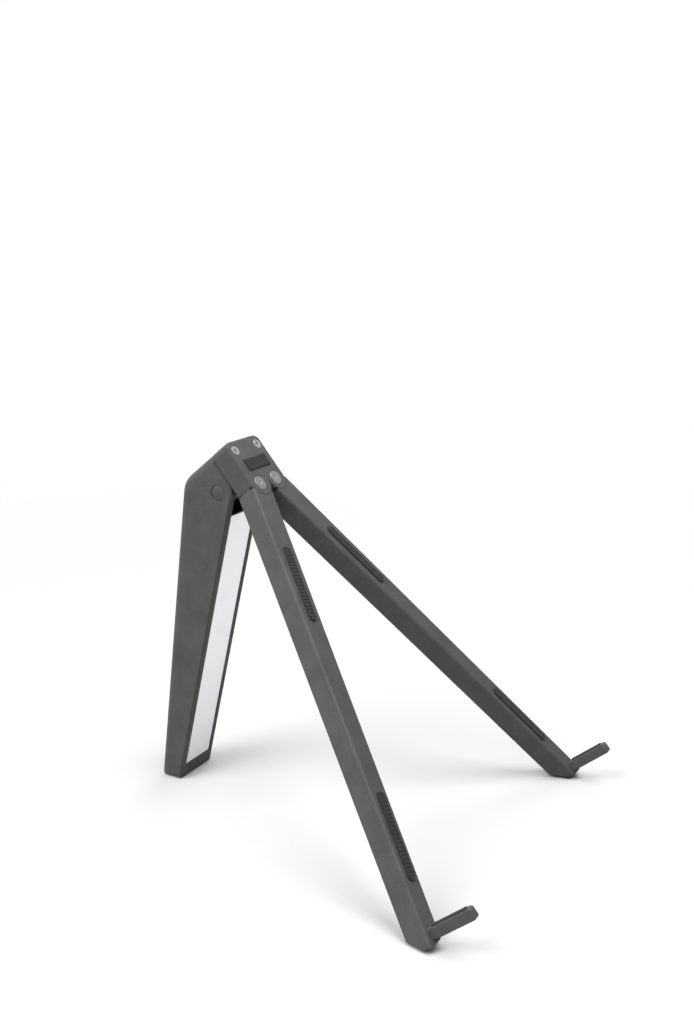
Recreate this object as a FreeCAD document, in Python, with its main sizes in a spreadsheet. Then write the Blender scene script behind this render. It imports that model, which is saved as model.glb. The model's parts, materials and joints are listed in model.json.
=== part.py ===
"""Folding laptop stand: two hooked arms and a rear leg on a small hub.

Frame: X to the right, Y away from the user, Z up, the table at Z = 0, millimetres.
The deck is the plane that the laptop lies on. Pieces of the hub are drawn in deck axes:
x across, y up the slope, z square to the deck, with z = 0 on the tops of the soft pads.
An arm is drawn with its pivot at the origin, x along the arm and z square to the deck.
The leg is drawn upright with its hinge axis at the origin.
"""
import FreeCAD, Part
import math
import os
import re
import Sketcher

DIMENSIONS = {
    # stance
    "deck_tilt": 50.4,
    "arm_spread": 21.4,
    "arm_reach": 243.5,
    "pivot_offset": 7.7,
    "pivot_setback": 48.49,
    # arm
    "rest_gap": 0.8,
    "arm_depth": 12.6,
    "arm_root_width": 14.6,
    "arm_tip_width": 10.4,
    "arm_start": 4.5,
    "arm_wall": 2.2,
    "arm_skin": 2.8,
    "arm_edge_radius": 1.2,
    "arm_end_chamfer": 1.2,
    "cell_count": 7,
    "cell_rib": 1.8,
    "cell_margin": 16.0,
    # knuckle of the arm
    "eye_radius": 7.2,
    "tail_reach": 11.0,
    "tail_width": 3.6,
    "stop_clearance": 0.1,
    "lobe_margin": 0.2,
    "shoulder_gap": 0.3,
    # hook
    "hook_width": 4.8,
    "hook_thickness": 5.8,
    "hook_height": 25.6,
    "hook_edge_radius": 0.7,
    "hook_tip_radius": 1.6,
    "end_lip": 1.8,
    # soft pads
    "pad_sink": 0.6,
    "pad_fit": 0.1,
    "rest_pad_length": 44.0,
    "rest_pad_width": 5.2,
    "front_pad_setback": 46.0,
    "rear_pad_setback": 62.0,
    "hook_pad_width": 3.2,
    "hook_pad_thickness": 1.2,
    "hook_pad_base": 1.6,
    "hook_pad_margin": 2.8,
    "toe_pad_thickness": 1.4,
    "toe_pad_width": 7.0,
    "toe_pad_inset": 0.6,
    "toe_cut": 6.0,
    # hub
    "hub_width": 31.0,
    "hub_rear": 27.0,
    "cover_thickness": 2.4,
    "floor_plate_thickness": 2.4,
    "block_gap": 0.6,
    "rib_gap": 0.4,
    "hub_corner_radius": 4.0,
    "hub_edge_chamfer": 0.8,
    "hub_pad_length": 20.0,
    "hub_pad_width": 7.0,
    "hub_pad_setback": 11.4,
    "hub_pad_corner_radius": 2.0,
    # arm pivots
    "pivot_diameter": 5.0,
    "pivot_head_diameter": 8.4,
    "pivot_head_height": 1.1,
    "running_fit": 0.05,
    "seat_fit": 0.02,
    "arm_washer_diameter": 12.4,
    "arm_washer_thickness": 0.5,
    "axial_play": 0.1,
    # cover screws
    "screw_diameter": 3.0,
    "screw_head_diameter": 5.6,
    "screw_head_height": 1.5,
    "screw_length": 9.0,
    "screw_offset": 10.6,
    "screw_setback": 5.6,
    # leg hinge
    "hinge_setback": 9.05,
    "hinge_pin_diameter": 6.0,
    "hinge_washer_thickness": 0.8,
    "tongue_radius": 6.5,
    "hinge_washer_diameter": 13.0,
    "pin_cap_diameter": 9.0,
    "pin_cap_thickness": 1.0,
    # leg
    "leg_width": 31.0,
    "leg_wall": 3.7,
    "leg_ledge": 1.5,
    "leg_back": 2.4,
    "leg_front_offset": 8.7,
    "leg_rear_offset": 23.85,
    "leg_front_lean": 13.1,
    "leg_rear_lean": 7.1,
    "fold_gap": 0.3,
    "leg_shoulder_radius": 14.0,
    "leg_heel_radius": 5.0,
    "leg_foot_radius": 2.2,
    "leg_edge_radius": 4.6,
    "leg_front_chamfer": 1.0,
    "ear_slot_drop": 13.0,
    "foot_bar": 8.0,
    "plate_thickness": 1.2,
    "plate_recess": 0.4,
    "plate_fit": 0.15,
    "plate_edge_chamfer": 0.3,
    "foot_pad_thickness": 1.8,
    "foot_pad_sink": 1.5,
    "foot_pad_inset": 2.6,
    "foot_pad_margin": 1.2,
}

# sizes worked out from the driving ones
ARM_TOP = "(-rest_gap)"
ARM_UNDERSIDE = "(-(rest_gap + arm_depth))"
PAD_THICKNESS = "(rest_gap + pad_sink)"
REACH_DOWN_SLOPE = "(arm_reach * cos(arm_spread) + hook_thickness / 2 + end_lip)"
PIVOT_HEIGHT = (
    f"({REACH_DOWN_SLOPE} * sin(deck_tilt) + (rest_gap + arm_depth) * cos(deck_tilt)"
    " + toe_pad_thickness - toe_cut)"
)
EYE_TOP = "(-(rest_gap + cover_thickness + arm_washer_thickness + axial_play))"
EYE_THICKNESS = (
    "(arm_depth - cover_thickness - floor_plate_thickness"
    " - 2 * (arm_washer_thickness + axial_play))"
)
LOBE_RADIUS = "(eye_radius + lobe_margin)"
SHOULDER_RADIUS = f"({LOBE_RADIUS} + shoulder_gap)"
BLOCK_FRONT = "(tail_reach + block_gap)"
RIB_HALF = (
    "(pivot_offset - tail_reach * sin(arm_spread) - tail_width / 2 * cos(arm_spread)"
    " - stop_clearance)"
)
HINGE_DROP = "(rest_gap + arm_depth + fold_gap + leg_front_offset)"
HINGE_Y = f"(pivot_setback + hinge_setback * cos(deck_tilt) + {HINGE_DROP} * sin(deck_tilt))"
HINGE_HEIGHT = f"({PIVOT_HEIGHT} + hinge_setback * sin(deck_tilt) - {HINGE_DROP} * cos(deck_tilt))"
EAR_GAP = "(leg_width - 2 * leg_wall)"
TONGUE_WIDTH = f"({EAR_GAP} - 2 * (hinge_washer_thickness + 2 * axial_play))"
LEG_BOTTOM = f"(foot_pad_thickness - foot_pad_sink - {HINGE_HEIGHT})"
BAR_TOP = f"(foot_bar - {HINGE_HEIGHT})"
PLATE_BACK = "(leg_front_offset - plate_recess - plate_thickness)"
SOLE_WIDTH = "(leg_width - 2 * foot_pad_inset)"
CHEEK_INSIDE = "(pivot_offset + tail_width / 2 + rib_gap)"

# places that several pieces share
DECK = f"placement(vector(0; pivot_setback; {PIVOT_HEIGHT}); rotationx(deck_tilt))"
ARM_LIE = "rotationx(deck_tilt) * rotationz(arm_spread - 90)"
ARM = f"placement(vector(pivot_offset; pivot_setback; {PIVOT_HEIGHT}); {ARM_LIE})"
LEG = f"placement(vector(0; {HINGE_Y}; {HINGE_HEIGHT}); rotationx(0))"

# least volume that a feature has to add or take away
LEAST_CHANGE = 0.01

document = FreeCAD.newDocument("laptop_stand")
sheet = document.addObject("Spreadsheet::Sheet", "Dims")
for row, (alias, size) in enumerate(DIMENSIONS.items(), start=1):
    sheet.set(f"A{row}", alias)
    sheet.set(f"B{row}", str(size))
    sheet.setAlias(f"B{row}", alias)
document.recompute()

ALIAS = re.compile(r"\b(" + "|".join(DIMENSIONS) + r")\b")


def on_sheet(text):
    """Turn the names of sizes in an expression into references to the sheet."""
    return ALIAS.sub(r"Dims.\1", str(text))


def value(text):
    """Work out an expression of sizes as a number."""
    result = sheet.evalExpression(on_sheet(text))
    return float(getattr(result, "Value", result))


def bind(item, **expressions):
    """Bind properties of an object to expressions of sizes."""
    for name, text in expressions.items():
        item.setExpression(name, on_sheet(text))


def new_body(label, placement):
    """Start a body with its label and place."""
    body = document.addObject("PartDesign::Body", label)
    body.Label = label
    bind(body, Placement=placement)
    return body


def new_sketch(body, role, base=("0", "0", "0"), turn="0"):
    """Start a sketch on one of the body's own origin planes, moved and turned by sizes."""
    plane = next(item for item in body.Origin.OriginFeatures if item.Role == role)
    sketch = body.newObject("Sketcher::SketchObject", body.Name + "_sketch")
    sketch.AttachmentSupport = [(plane, "")]
    sketch.MapMode = "FlatFace"
    offset = f"placement(vector({base[0]}; {base[1]}; {base[2]}); rotationz({turn}))"
    bind(sketch, AttachmentOffset=offset)
    return sketch


def fix_point(sketch, geometry, position, x, y):
    """Hold a point of the sketch at two expressions from its origin."""
    for axis, text in (("X", x), ("Y", y)):
        constraint = Sketcher.Constraint("Distance" + axis, -1, 1, geometry, position, value(text))
        index = sketch.addConstraint(constraint)
        name = f"p{geometry}_{axis.lower()}"
        sketch.renameConstraint(index, name)
        sketch.setExpression("Constraints." + name, on_sheet(text))


def draw_polygon(sketch, points):
    """Draw a closed outline whose corners are pairs of expressions."""
    corners = [FreeCAD.Vector(value(x), value(y), 0) for x, y in points]
    first = sketch.GeometryCount
    count = len(corners)
    for index in range(count):
        sketch.addGeometry(Part.LineSegment(corners[index], corners[(index + 1) % count]))
    for index in range(count):
        following = first + (index + 1) % count
        sketch.addConstraint(Sketcher.Constraint("Coincident", first + index, 2, following, 1))
        fix_point(sketch, first + index, 1, *points[index])


def draw_rectangle(sketch, x_low, x_high, y_low, y_high):
    """Draw an upright rectangle between four expressions."""
    corners = [(x_low, y_low), (x_high, y_low), (x_high, y_high), (x_low, y_high)]
    draw_polygon(sketch, corners)


def draw_slot(sketch, x_low, x_high, radius):
    """Draw a round-ended slot along x, centred on it, between two expressions."""
    size = value(radius)
    left = FreeCAD.Vector(value(x_low) + size, 0, 0)
    right = FreeCAD.Vector(value(x_high) - size, 0, 0)
    up = FreeCAD.Vector(0, size, 0)
    normal = FreeCAD.Vector(0, 0, 1)
    first = sketch.GeometryCount
    sketch.addGeometry(Part.ArcOfCircle(Part.Circle(left, normal, size), math.pi / 2, 3 * math.pi / 2))
    sketch.addGeometry(Part.LineSegment(left - up, right - up))
    sketch.addGeometry(Part.ArcOfCircle(Part.Circle(right, normal, size), -math.pi / 2, math.pi / 2))
    sketch.addGeometry(Part.LineSegment(right + up, left + up))
    for index in range(4):
        following = first + (index + 1) % 4
        sketch.addConstraint(Sketcher.Constraint("Tangent", first + index, 2, following, 1))
    fix_point(sketch, first, 3, f"{x_low} + {radius}", "0")
    fix_point(sketch, first + 2, 3, f"{x_high} - ({radius})", "0")
    fix_radius(sketch, first, radius)


def fix_radius(sketch, geometry, radius):
    """Hold the radius of a circle or arc at an expression."""
    index = sketch.addConstraint(Sketcher.Constraint("Radius", geometry, value(radius)))
    name = f"radius_{geometry}"
    sketch.renameConstraint(index, name)
    sketch.setExpression("Constraints." + name, on_sheet(radius))


def draw_circle(sketch, x, y, radius):
    """Draw a circle at a pair of expressions."""
    centre = FreeCAD.Vector(value(x), value(y), 0)
    circle = Part.Circle(centre, FreeCAD.Vector(0, 0, 1), value(radius))
    geometry = sketch.addGeometry(circle)
    fix_point(sketch, geometry, 3, x, y)
    fix_radius(sketch, geometry, radius)


def extrude(sketch, kind, length, flip=False, both=False):
    """Pad a sketch along its normal or pocket it against its normal, the other way with flip."""
    body = sketch.getParentGeoFeatureGroup()
    before = 0.0 if body.Shape.isNull() else body.Shape.Volume
    feature = body.newObject("PartDesign::" + kind, f"{body.Name}_{kind.lower()}")
    feature.Profile = sketch
    feature.Type = "Length"
    feature.SideType = "Symmetric" if both else "One side"
    feature.Reversed = flip
    bind(feature, Length=length)
    document.recompute()
    gain = body.Shape.Volume - before
    if kind == "Pad" and gain < LEAST_CHANGE or kind == "Pocket" and gain > -LEAST_CHANGE:
        raise RuntimeError(f"{feature.Name} changed the volume by {gain:.4f}")
    return feature


def dress_edges(body, kind, wanted, **size):
    """Add a fillet or a chamfer along the edges of a body that the test picks out."""
    base = body.Tip
    names = [f"Edge{i}" for i, edge in enumerate(base.Shape.Edges, start=1) if wanted(edge)]
    if not names:
        raise RuntimeError(f"{body.Name} has no edge for a {kind}")
    feature = body.newObject("PartDesign::" + kind, f"{body.Name}_{kind.lower()}")
    feature.Base = (base, names)
    bind(feature, **size)
    document.recompute()
    if not feature.isValid():
        raise RuntimeError(f"{feature.Name} failed on {names}")
    return feature


def round_edges(body, radius, wanted):
    """Round the edges of a body that the test picks out."""
    return dress_edges(body, "Fillet", wanted, Radius=radius)


def bevel_edges(body, width, wanted):
    """Bevel the edges of a body that the test picks out."""
    return dress_edges(body, "Chamfer", wanted, Size=width)


def spans(edge):
    """Give the size of an edge's box and the middle of that box."""
    box = edge.BoundBox
    return (box.XLength, box.YLength, box.ZLength), box.Center


def near(first, second):
    """Tell whether two lengths are the same for picking edges."""
    return abs(first - second) < 0.02


def is_upright(edge):
    """Tell whether an edge runs square to the deck or the table."""
    size, _ = spans(edge)
    return size[0] < 0.01 and size[1] < 0.01


def flat_plate(label, placement, width, length, thickness):
    """Make a square-cornered plate, centred on x and y, its underside at z = 0."""
    body = new_body(label, placement)
    sketch = new_sketch(body, "XY_Plane")
    draw_rectangle(sketch, f"-({width}) / 2", f"({width}) / 2", f"-({length}) / 2", f"({length}) / 2")
    extrude(sketch, "Pad", thickness)
    return body


def rounded_plate(label, placement, width, length, thickness, radius):
    """Make such a plate with rounded corners."""
    body = flat_plate(label, placement, width, length, thickness)
    round_edges(body, radius, is_upright)
    return body


def cylinder(label, placement, radius, height):
    """Make a plain cylinder along its own z."""
    item = document.addObject("Part::Cylinder", label)
    bind(item, Radius=radius, Height=height, Placement=placement)
    return item


def cone(label, placement, low_radius, high_radius, height):
    """Make a plain cone along its own z."""
    item = document.addObject("Part::Cone", label)
    bind(item, Radius1=low_radius, Radius2=high_radius, Height=height, Placement=placement)
    return item


def fused(label, first, second):
    """Join two solids into one."""
    item = document.addObject("Part::Fuse", label)
    item.Base = first
    item.Tool = second
    item.Refine = True
    return item


def cut(label, base, tool):
    """Cut one solid out of another."""
    item = document.addObject("Part::Cut", label)
    item.Base = base
    item.Tool = tool
    return item


def ring(label, placement, outer_radius, inner_radius, thickness):
    """Make a flat washer along its own z."""
    disc = cylinder(label + "_disc", placement, outer_radius, thickness)
    hole = cylinder(label + "_hole", placement, inner_radius, thickness)
    return cut(label, disc, hole)


def grouped(label, pieces):
    """Keep like pieces together as separate solids of one node."""
    item = document.addObject("Part::Compound", label)
    item.Links = pieces
    return item


def mirrored(label, source):
    """Make the left-hand twin of a right-hand piece."""
    item = document.addObject("Part::Mirroring", label)
    item.Source = source
    item.Base = FreeCAD.Vector(0, 0, 0)
    item.Normal = FreeCAD.Vector(1, 0, 0)
    return item


def on_deck(x, y, z):
    """Place a piece in deck axes."""
    return f"{DECK} * placement(vector({x}; {y}; {z}); rotationx(0))"


def on_arm(x, y, z, turn="0"):
    """Place a piece in the right arm's axes, turned about the deck's normal."""
    return f"{ARM} * placement(vector({x}; {y}; {z}); rotationz({turn}))"


def in_leg(x, y, z, rotation="rotationx(0)"):
    """Place a piece in the leg's axes."""
    return f"{LEG} * placement(vector({x}; {y}; {z}); {rotation})"


def arm_end(side):
    """Place along the arm where its end face meets the side at this distance from the middle."""
    return f"arm_reach + (hook_thickness / 2 + end_lip + ({side}) * sin(arm_spread)) / cos(arm_spread)"


def cell_half_width(along):
    """Half the inner width of the arm's hollow at a place along it."""
    share = f"(({along}) - arm_start) / (arm_reach - arm_start)"
    return f"arm_root_width / 2 - arm_wall - (arm_root_width - arm_tip_width) / 2 * {share}"


def build_arm():
    """Mould the right arm: bar, knuckle eye, hollow underside, pad seats and hook."""
    arm = new_body("arm_moulding_right", ARM)
    bar = new_sketch(arm, "XY_Plane", ("0", "0", ARM_TOP))
    root_half = "arm_root_width / 2"
    tip_half = "arm_tip_width / 2"
    outline = [
        ("arm_start", f"-{root_half}"),
        (arm_end(f"-{tip_half}"), f"-{tip_half}"),
        (arm_end(tip_half), tip_half),
        ("arm_start", root_half),
    ]
    draw_polygon(bar, outline)
    extrude(bar, "Pad", "arm_depth", flip=True)
    bevel_edges(arm, "arm_end_chamfer", lambda e: is_upright(e) and spans(e)[1].x > value("arm_reach / 2"))
    round_edges(arm, "arm_edge_radius", lambda e: spans(e)[0][0] > value("arm_reach / 2"))
    # the full depth starts on an arc round the pivot, clear of the hub's lobes
    shoulder = new_sketch(arm, "XY_Plane", ("0", "0", "1"))
    draw_circle(shoulder, "0", "0", SHOULDER_RADIUS)
    extrude(shoulder, "Pocket", "arm_depth + rest_gap + 2")
    eye = new_sketch(arm, "XY_Plane", ("0", "0", EYE_TOP))
    neck_half = "(eye_radius - lobe_margin)"
    draw_rectangle(eye, "0", f"{SHOULDER_RADIUS} + arm_wall", f"-{neck_half}", neck_half)
    extrude(eye, "Pad", EYE_THICKNESS, flip=True)
    knuckle = new_sketch(arm, "XY_Plane", ("0", "0", EYE_TOP))
    draw_circle(knuckle, "0", "0", "eye_radius")
    extrude(knuckle, "Pad", EYE_THICKNESS, flip=True)
    # the tail meets the hub's rib when the arm is spread
    tail = new_sketch(arm, "XY_Plane", ("0", "0", EYE_TOP))
    draw_rectangle(tail, "-tail_reach", "0", "-tail_width / 2", "tail_width / 2")
    extrude(tail, "Pad", EYE_THICKNESS, flip=True)
    bore = new_sketch(arm, "XY_Plane", ("0", "0", EYE_TOP))
    draw_circle(bore, "0", "0", "pivot_diameter / 2 + running_fit")
    extrude(bore, "Pocket", EYE_THICKNESS)
    # hollow underside in cells between cross ribs
    cells = new_sketch(arm, "XY_Plane", ("0", "0", ARM_UNDERSIDE))
    pitch = "((arm_reach - 2 * cell_margin + cell_rib) / cell_count)"
    for index in range(round(value("cell_count"))):
        start = f"cell_margin + {index} * {pitch}"
        stop = f"cell_margin + {index + 1} * {pitch} - cell_rib"
        corners = [
            (start, f"-({cell_half_width(start)})"),
            (stop, f"-({cell_half_width(stop)})"),
            (stop, cell_half_width(stop)),
            (start, cell_half_width(start)),
        ]
        draw_polygon(cells, corners)
    extrude(cells, "Pocket", "arm_depth - arm_skin", flip=True)
    # seats of the two soft strips on top
    seats = new_sketch(arm, "XY_Plane", ("0", "0", ARM_TOP))
    half_length = "(rest_pad_length / 2 + pad_fit)"
    radius = "rest_pad_width / 2 + pad_fit"
    for middle in ("arm_reach - front_pad_setback", "rear_pad_setback"):
        draw_slot(seats, f"{middle} - {half_length}", f"{middle} + {half_length}", radius)
    extrude(seats, "Pocket", "pad_sink")
    # the hook stands square to the laptop's front edge when the arms are spread
    hook = new_sketch(arm, "XY_Plane", ("arm_reach", "0", f"{ARM_TOP} - arm_skin"), "90 - arm_spread")
    draw_rectangle(hook, "-hook_width / 2", "hook_width / 2", "-hook_thickness / 2", "hook_thickness / 2")
    extrude(hook, "Pad", "hook_height + rest_gap + arm_skin")
    tip = value("hook_height")
    round_edges(arm, "hook_edge_radius", lambda e: is_upright(e) and near(e.BoundBox.ZMax, tip))
    round_edges(arm, "hook_tip_radius", lambda e: near(e.BoundBox.ZMin, tip) and near(e.BoundBox.ZMax, tip))
    liner = new_sketch(arm, "XY_Plane", ("arm_reach", "0", "hook_height - hook_pad_margin + pad_fit"),
                       "90 - arm_spread")
    draw_rectangle(liner, "-hook_pad_width / 2 - pad_fit", "hook_pad_width / 2 + pad_fit",
                   "hook_thickness / 2 - pad_sink", "hook_thickness")
    extrude(liner, "Pocket", "hook_height - hook_pad_margin - hook_pad_base + 2 * pad_fit")
    # the toe is cut level with the table, one pad thickness above it
    slab = document.addObject("Part::Box", "toe_level_cut")
    bind(slab, Length="arm_reach + hub_width", Width="arm_reach", Height="arm_reach")
    bind(slab, Placement="placement(vector(0; -arm_reach; toe_pad_thickness - arm_reach); rotationx(0))")
    return cut("arm_right", arm, slab)


def build_arm_pads():
    """Cut the soft strips, the hook's liner and the toe of the right arm."""
    pads = []
    for label, middle in (("front_rest_pad_right", "arm_reach - front_pad_setback"),
                          ("rear_rest_pad_right", "rear_pad_setback")):
        strip = new_body(label, on_arm(middle, "0", f"{ARM_TOP} - pad_sink"))
        outline = new_sketch(strip, "XY_Plane")
        draw_slot(outline, "-rest_pad_length / 2", "rest_pad_length / 2", "rest_pad_width / 2")
        extrude(outline, "Pad", PAD_THICKNESS)
        pads.append(strip)
    # the liner stands on edge against the hook, its face towards the laptop
    liner_height = "(hook_height - hook_pad_margin - hook_pad_base)"
    along = f"placement(vector(0; hook_thickness / 2 - pad_sink; hook_pad_base + {liner_height} / 2); "
    place = on_arm("arm_reach", "0", "0", "90 - arm_spread") + " * " + along + "rotationx(-90))"
    pads.append(flat_plate("hook_pad_right", place, "hook_pad_width", liner_height, "hook_pad_thickness"))
    # the level cut runs from the underside to the end face of the arm
    cut_length = "(toe_cut / (sin(deck_tilt) * cos(deck_tilt)))"
    front = f"(pivot_setback - {REACH_DOWN_SLOPE} * cos(deck_tilt) - {ARM_UNDERSIDE} * sin(deck_tilt))"
    middle = f"({front} - toe_cut * tan(deck_tilt) / 2 + toe_cut / tan(deck_tilt) / 2)"
    across = "pivot_offset + arm_reach * sin(arm_spread)"
    place = f"placement(vector({across}; {middle}; 0); rotationx(0))"
    pads.append(flat_plate("toe_pad_right", place, "toe_pad_width", f"{cut_length} - 2 * toe_pad_inset",
                           "toe_pad_thickness"))
    return pads


def draw_hub_plate(body, top, thickness):
    """Pad the plate that cover and floor share: a block behind two lobes over the arms' eyes."""
    plate = new_sketch(body, "XY_Plane", ("0", "0", top))
    draw_rectangle(plate, "-hub_width / 2", "hub_width / 2", "0", "hub_rear")
    extrude(plate, "Pad", thickness, flip=True)
    for side in ("-pivot_offset", "pivot_offset"):
        lobe = new_sketch(body, "XY_Plane", ("0", "0", top))
        draw_circle(lobe, side, "0", LOBE_RADIUS)
        extrude(lobe, "Pad", thickness, flip=True)


def screw_places():
    """Give the two screws' places on the hub."""
    return [("-screw_offset", "hub_rear - screw_setback"), ("screw_offset", "hub_rear - screw_setback")]


def build_housing():
    """Mould the hub's housing: floor plate, rear block, stop rib and the leg's tongue."""
    housing = new_body("hub_housing", DECK)
    floor_top = f"{ARM_UNDERSIDE} + floor_plate_thickness"
    draw_hub_plate(housing, floor_top, "floor_plate_thickness")
    block_height = "arm_depth - cover_thickness - floor_plate_thickness"
    block = new_sketch(housing, "XY_Plane", ("0", "0", floor_top))
    draw_rectangle(block, "-hub_width / 2", "hub_width / 2", BLOCK_FRONT, "hub_rear")
    extrude(block, "Pad", block_height)
    rear = value("hub_rear")
    round_edges(housing, "hub_corner_radius", lambda e: is_upright(e) and near(spans(e)[1].y, rear))
    underside = value(ARM_UNDERSIDE)
    bevel_edges(housing, "hub_edge_chamfer",
                lambda e: near(e.BoundBox.ZMax, underside) and near(e.BoundBox.YMax, rear))
    # cheeks close the hub's sides up to the arms' eyes
    cheeks = new_sketch(housing, "XY_Plane", ("0", "0", floor_top))
    draw_rectangle(cheeks, "-hub_width / 2", f"-{CHEEK_INSIDE}", "0", f"{BLOCK_FRONT} + leg_wall")
    draw_rectangle(cheeks, CHEEK_INSIDE, "hub_width / 2", "0", f"{BLOCK_FRONT} + leg_wall")
    extrude(cheeks, "Pad", block_height)
    rooms = new_sketch(housing, "XY_Plane", ("0", "0", floor_top))
    for side in ("-pivot_offset", "pivot_offset"):
        draw_circle(rooms, side, "0", "eye_radius + rib_gap")
    extrude(rooms, "Pocket", block_height, flip=True)
    rib = new_sketch(housing, "XY_Plane", ("0", "0", floor_top))
    draw_rectangle(rib, f"-{RIB_HALF}", RIB_HALF, "eye_radius + rib_gap", f"{BLOCK_FRONT} + leg_wall")
    extrude(rib, "Pad", block_height)
    # the tongue hangs under the floor plate between the leg's ears
    tongue = new_sketch(housing, "YZ_Plane")
    draw_rectangle(tongue, "hinge_setback - tongue_radius", "hinge_setback + tongue_radius",
                   f"-{HINGE_DROP}", floor_top)
    extrude(tongue, "Pad", TONGUE_WIDTH, both=True)
    nose = new_sketch(housing, "YZ_Plane")
    draw_circle(nose, "hinge_setback", f"-{HINGE_DROP}", "tongue_radius")
    extrude(nose, "Pad", TONGUE_WIDTH, both=True)
    hinge = new_sketch(housing, "YZ_Plane")
    draw_circle(hinge, "hinge_setback", f"-{HINGE_DROP}", "hinge_pin_diameter / 2 + running_fit")
    extrude(hinge, "Pocket", "hub_width", both=True)
    pivots = new_sketch(housing, "XY_Plane", ("0", "0", floor_top))
    for side in ("-pivot_offset", "pivot_offset"):
        draw_circle(pivots, side, "0", "pivot_diameter / 2 + seat_fit")
    extrude(pivots, "Pocket", "floor_plate_thickness")
    screws = new_sketch(housing, "XY_Plane", ("0", "0", f"{ARM_TOP} - cover_thickness"))
    for x, y in screw_places():
        draw_circle(screws, x, y, "screw_diameter / 2 + seat_fit")
    extrude(screws, "Pocket", "screw_length + seat_fit - cover_thickness")
    return housing


def build_cover():
    """Mould the hub's top plate with its counterbores, pad seat and countersinks."""
    cover = new_body("cover_moulding", DECK)
    draw_hub_plate(cover, ARM_TOP, "cover_thickness")
    rear = value("hub_rear")
    top = value(ARM_TOP)
    round_edges(cover, "hub_corner_radius", lambda e: is_upright(e) and near(spans(e)[1].y, rear))
    bevel_edges(cover, "hub_edge_chamfer",
                lambda e: near(e.BoundBox.ZMin, top) and near(e.BoundBox.YMax, rear))
    heads = new_sketch(cover, "XY_Plane", ("0", "0", ARM_TOP))
    for side in ("-pivot_offset", "pivot_offset"):
        draw_circle(heads, side, "0", "pivot_head_diameter / 2 + pad_fit")
    extrude(heads, "Pocket", "pivot_head_height")
    holes = new_sketch(cover, "XY_Plane", ("0", "0", ARM_TOP))
    for side in ("-pivot_offset", "pivot_offset"):
        draw_circle(holes, side, "0", "pivot_diameter / 2 + seat_fit")
    for x, y in screw_places():
        draw_circle(holes, x, y, "screw_diameter / 2 + seat_fit")
    extrude(holes, "Pocket", "cover_thickness")
    seat = new_sketch(cover, "XY_Plane", ("0", "0", ARM_TOP))
    half_length = "(hub_pad_length / 2 + pad_fit)"
    half_width = "(hub_pad_width / 2 + pad_fit)"
    draw_rectangle(seat, f"-{half_length}", half_length,
                   f"hub_pad_setback - {half_width}", f"hub_pad_setback + {half_width}")
    extrude(seat, "Pocket", "pad_sink")
    sinks = []
    for index, (x, y) in enumerate(screw_places()):
        place = on_deck(x, y, f"{ARM_TOP} - screw_head_height")
        sinks.append(cone(f"countersink_{index}", place, "screw_diameter / 2 + seat_fit",
                          "screw_head_diameter / 2 + seat_fit", "screw_head_height"))
    return cut("hub_cover", cover, grouped("countersinks", sinks))


def build_hub_fittings():
    """Turn the pins, screws and washers of the hub and cut its soft pad."""
    place = on_deck("0", "hub_pad_setback", f"{ARM_TOP} - pad_sink")
    pad = rounded_plate("hub_pad", place, "hub_pad_length", "hub_pad_width", PAD_THICKNESS,
                        "hub_pad_corner_radius")
    screws = []
    for index, (x, y) in enumerate(screw_places()):
        head = cone(f"screw_head_{index}", on_deck(x, y, f"{ARM_TOP} - screw_head_height"),
                    "screw_diameter / 2", "screw_head_diameter / 2", "screw_head_height")
        shank = cylinder(f"screw_shank_{index}", on_deck(x, y, f"{ARM_TOP} - screw_length"),
                         "screw_diameter / 2", "screw_length - screw_head_height")
        screws.append(fused(f"screw_{index}", head, shank))
    head = cylinder("pivot_head", on_deck("pivot_offset", "0", f"{ARM_TOP} - pivot_head_height"),
                    "pivot_head_diameter / 2", "pivot_head_height")
    shank = cylinder("pivot_shank", on_deck("pivot_offset", "0", ARM_UNDERSIDE),
                     "pivot_diameter / 2", "arm_depth - pivot_head_height")
    pin = fused("arm_pivot_pin_right", head, shank)
    washers = []
    cover_side = f"{ARM_TOP} - cover_thickness - arm_washer_thickness"
    floor_side = f"{ARM_UNDERSIDE} + floor_plate_thickness"
    for name, height in (("upper", cover_side), ("lower", floor_side)):
        washers.append(ring(f"{name}_arm_washer", on_deck("pivot_offset", "0", height),
                            "arm_washer_diameter / 2", "pivot_diameter / 2 + running_fit",
                            "arm_washer_thickness"))
    return pad, grouped("cover_screws", screws), pin, grouped("arm_washers_right", washers)


def rear_at(height, inset="0"):
    """Place of the leg's rear face, or of a line inside it, at a height from the hinge."""
    return f"((leg_rear_offset - {inset} - ({height}) * sin(leg_rear_lean)) / cos(leg_rear_lean))"


def front_at(height):
    """Place of the leg's front face at a height from the hinge."""
    return f"((-leg_front_offset - ({height}) * sin(leg_front_lean)) / cos(leg_front_lean))"


def along_front(height):
    """Distance along the leg's front face, from beside the hinge, to a height from the hinge."""
    return f"((({height}) + leg_front_offset * sin(leg_front_lean)) / cos(leg_front_lean))"


def deck_point(along, above):
    """Turn a place along and above the deck, from the hinge, into the leg's axes."""
    y = f"(({along}) * cos(deck_tilt) - ({above}) * sin(deck_tilt))"
    z = f"(({along}) * sin(deck_tilt) + ({above}) * cos(deck_tilt))"
    return y, z


def shoulder_point(inset):
    """Corner where the leg's shoulder, flush with the hub's rear, meets its rear face."""
    along = f"(hub_rear - hinge_setback - {inset})"
    lean = "(deck_tilt - leg_rear_lean)"
    above = f"(({along} * cos{lean} - leg_rear_offset + {inset}) / sin{lean})"
    return deck_point(along, above)


def heel_centre():
    """Place of the middle of the heel's round, which touches the rear face and the bottom."""
    return rear_at(f"({LEG_BOTTOM} + leg_heel_radius)", "leg_heel_radius")


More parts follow.
